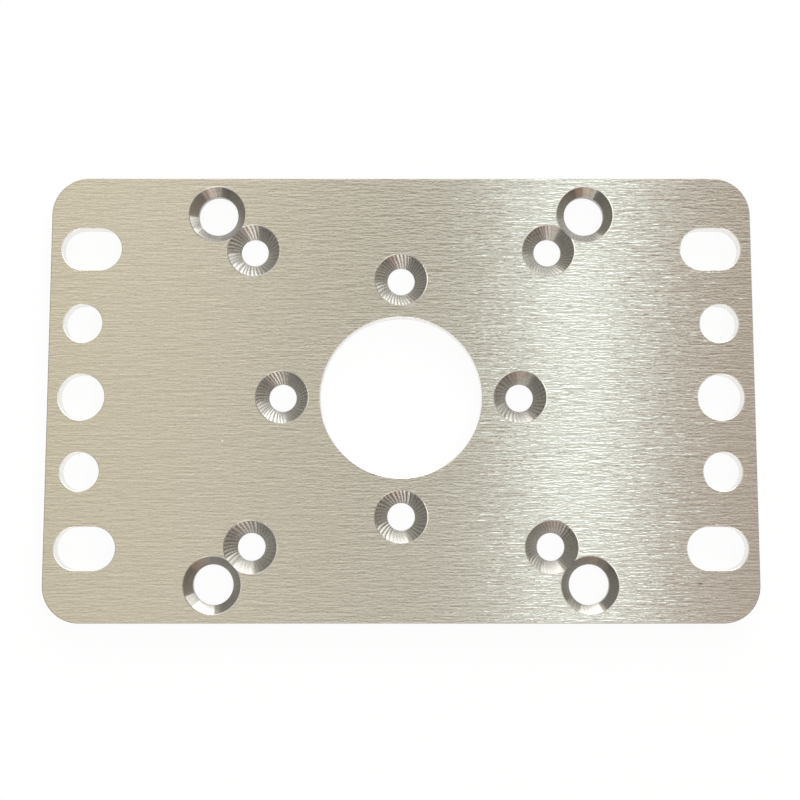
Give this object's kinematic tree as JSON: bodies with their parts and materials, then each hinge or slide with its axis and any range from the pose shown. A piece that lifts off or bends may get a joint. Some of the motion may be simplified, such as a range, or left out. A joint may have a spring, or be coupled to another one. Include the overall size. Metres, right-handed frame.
{
  "type": "joystick mounting plate",
  "caption": "Flat brushed-steel plate with round corners: a joystick passes through its centre opening, countersunk screws hold the base, and slots at both ends fix it to a panel.",
  "frame": {"origin": "centre of the back face, on the axis of the centre opening", "axes": "+X along the plate, +Y across it, +Z out of the countersunk front face"},
  "size_m": [0.095, 0.06, 0.002],
  "materials": {
    "steel": "stainless sheet brushed along its length, with bare turned countersinks"
  },
  "bodies": {
    "root": {"mounting_plate": "steel"}
  },
  "joints": []
}
